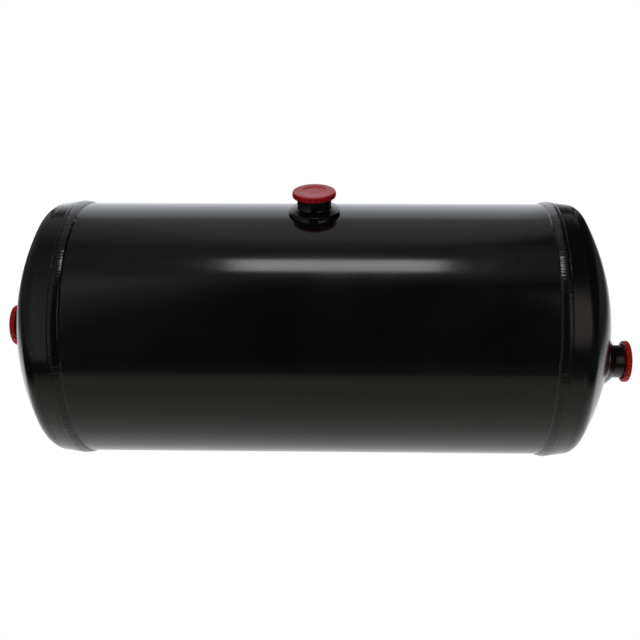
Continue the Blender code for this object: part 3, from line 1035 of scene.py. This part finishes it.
# Places along the sweep are measured back over the table and then up the wall.
GLOW_STOPS = [                # (share of the sweep's length, level)
    (0.0, 0.06), (0.047, 0.16), (0.078, 0.24), (0.109, 0.28), (0.172, 0.30), (0.203, 0.38),
    (0.219, 0.46), (0.234, 0.62), (0.25, 0.72), (0.328, 0.78), (0.45, 0.85), (0.547, 0.9),
    (0.697, 0.94), (0.73, 0.98), (0.84, 0.98), (0.92, 0.76), (1.0, 0.68)]
WALL_FROM, WALL_TO = 0.8, 1.2  # where the glow changes from the table's width to the wall's
WALL_OFFSET = 0.11            # the lit part of the wall sits this far to the left
WALL_WIDER = 0.15             # and reaches this much further to each side
EDGE_FROM, EDGE_TO = 0.38, 0.6  # where the glow fades, out from the middle
EDGE_LEVEL = (0.02, 0.02, 0.02)
TINT_FROM, TINT_TO = -0.3, 0.1
WARM_TINT = (1.03, 1.0, 0.93)
COOL_TINT = (0.97, 1.0, 1.05)

sweep = bmesh.new()
cove = [(SWEEP_BACK - COVE_R + COVE_R * math.sin(math.radians(a)),
         FLOOR_Z + COVE_R - COVE_R * math.cos(math.radians(a))) for a in range(0, 91, 6)]
points = [sweep.verts.new((SWEEP_LEFT, y, z))
          for y, z in [(SWEEP_FRONT, FLOOR_Z), *cove, (SWEEP_BACK, SWEEP_TOP)]]
edges = [sweep.edges.new(pair) for pair in zip(points, points[1:])]
bmesh.ops.translate(sweep, verts=grow(sweep, edges)[0], vec=(SWEEP_RIGHT - SWEEP_LEFT, 0, 0))
bmesh.ops.recalc_face_normals(sweep, faces=sweep.faces)
mesh = bpy.data.meshes.new("white_sweep")
sweep.to_mesh(mesh)
sweep.free()
mesh.shade_smooth()
put_in_scene("white_sweep", mesh)


def ramp(tree, value, stops):
    """A grey ramp through (place, level) stops."""
    made = add(tree, "ShaderNodeValToRGB", {"Fac": value})
    elements = made.color_ramp.elements
    while len(elements) < len(stops):
        elements.new(1.0)
    for element, (place, level) in zip(elements, stops):
        element.position = place
        element.color = (level, level, level, 1.0)
    return made.outputs["Color"]


white = bpy.data.materials.new("studio white")
white.use_nodes = True
tree = white.node_tree
tree.nodes.clear()
place = add(tree, "ShaderNodeSeparateXYZ",
            {"Vector": add(tree, "ShaderNodeTexCoord").outputs["Object"]}).outputs
run = calculate(tree, "ADD", place["Y"], calculate(tree, "SUBTRACT", place["Z"], FLOOR_Z))
along_sweep = add(tree, "ShaderNodeMapRange", {
    "Value": run, "From Min": SWEEP_FRONT, "From Max": SWEEP_BACK + SWEEP_TOP - FLOOR_Z})
glow = ramp(tree, along_sweep.outputs["Result"], GLOW_STOPS)
wall_share = spread(tree, run, WALL_FROM, WALL_TO)
off_middle = calculate(tree, "ABSOLUTE", calculate(
    tree, "MULTIPLY_ADD", wall_share, WALL_OFFSET, place["X"]))
to_edge = calculate(tree, "MULTIPLY_ADD", wall_share, -WALL_WIDER, off_middle)
glow = blend(tree, spread(tree, to_edge, EDGE_FROM, EDGE_TO), glow, EDGE_LEVEL)
tint = blend(tree, spread(tree, run, TINT_FROM, TINT_TO), WARM_TINT, COOL_TINT)
glow = add(tree, "ShaderNodeVectorMath", {0: glow, 1: tint}, operation="MULTIPLY").outputs[0]
seen = add(tree, "ShaderNodeLightPath").outputs["Is Camera Ray"]
emission = add(tree, "ShaderNodeEmission", {
    "Color": blend(tree, seen, glow, (1 / SWEEP_GLOW, 1 / SWEEP_GLOW, 1 / SWEEP_GLOW)),
    "Strength": SWEEP_GLOW})
add(tree, "ShaderNodeOutputMaterial", {"Surface": emission.outputs[0]})
mesh.materials.append(white)

# %% [markdown]
# ## Softbox and room
#
# One softbox hangs above the tank, a little in front of it. It makes the long soft highlight on
# the shell's shoulder. The room is a sky of greys by the turn round the tank: nearly black in
# front, where the camera stands, and to the right, with a pale wall to the front left and a
# panel behind. A warm pale patch stands at the front right, partway up. The ceiling straight
# above is dim, and below the horizon there is almost nothing. The camera sees it all as white.

# %% Lights
SOFTBOX_SIZE = (0.46, 0.25)
SOFTBOX_PLACE = (-0.005, -0.17, 1.3)
SOFTBOX_RADIANCE = 5.0
# The turn round the tank runs from 0 in front by the left (0.25), the back (0.5) and the right
# (0.75) to 1 in front again. Heights are the Z of a direction of length 1.
WALL_STOPS = [                # (turn, level)
    (0.0, 0.02), (0.045, 0.03), (0.075, 0.24), (0.09, 0.4), (0.12, 0.32), (0.22, 0.16),
    (0.333, 0.08), (0.375, 0.15), (0.417, 0.26), (0.435, 0.3), (0.45, 0.42), (0.533, 0.42),
    (0.55, 0.36), (0.57, 0.05), (0.583, 0.02), (0.792, 0.02), (0.833, 0.08), (0.875, 0.02),
    (1.0, 0.02)]
PATCH_TURN = ((0.83, 0.88), (0.95, 0.935))   # each side of the patch: where it is 0, and full
PATCH_HEIGHT = ((0.1, 0.35), (0.92, 0.7))    # its foot and its top, in the same way
PATCH_COLOUR = (0.62, 0.55, 0.53)
CEILING_HEIGHT = (0.9, 0.97)
CEILING_COLOUR = (0.16, 0.16, 0.16)
HORIZON_HEIGHT = (-0.02, -0.1)
BELOW_COLOUR = (0.05, 0.05, 0.05)

softbox = bpy.data.lights.new("softbox", "AREA")
softbox.shape = "RECTANGLE"
softbox.size, softbox.size_y = SOFTBOX_SIZE
softbox.energy = SOFTBOX_RADIANCE * math.pi * SOFTBOX_SIZE[0] * SOFTBOX_SIZE[1]
lamp = put_in_scene("softbox", softbox)
lamp.location = SOFTBOX_PLACE
lamp.visible_camera = False

room = bpy.data.worlds.new("studio room")
room.use_nodes = True
bpy.context.scene.world = room
tree = room.node_tree
direction = add(tree, "ShaderNodeSeparateXYZ",
                {"Vector": add(tree, "ShaderNodeTexCoord").outputs["Generated"]}).outputs
turn = calculate(tree, "MULTIPLY_ADD", calculate(
    tree, "ARCTAN2", direction["X"], direction["Y"]), 0.5 / math.pi, 0.5)
walls = ramp(tree, turn, WALL_STOPS)
near_side, far_side = [spread(tree, turn, *edge) for edge in PATCH_TURN]
foot, top = [spread(tree, direction["Z"], *edge) for edge in PATCH_HEIGHT]
patch_share = calculate(tree, "MULTIPLY", calculate(tree, "MULTIPLY", near_side, far_side),
                        calculate(tree, "MULTIPLY", foot, top))
walls = blend(tree, patch_share, walls, PATCH_COLOUR)
walls = blend(tree, spread(tree, direction["Z"], *CEILING_HEIGHT), walls, CEILING_COLOUR)
walls = blend(tree, spread(tree, direction["Z"], *HORIZON_HEIGHT), walls, BELOW_COLOUR)
seen = add(tree, "ShaderNodeLightPath").outputs["Is Camera Ray"]
tree.links.new(blend(tree, seen, walls, (1, 1, 1)), tree.nodes["Background"].inputs["Color"])
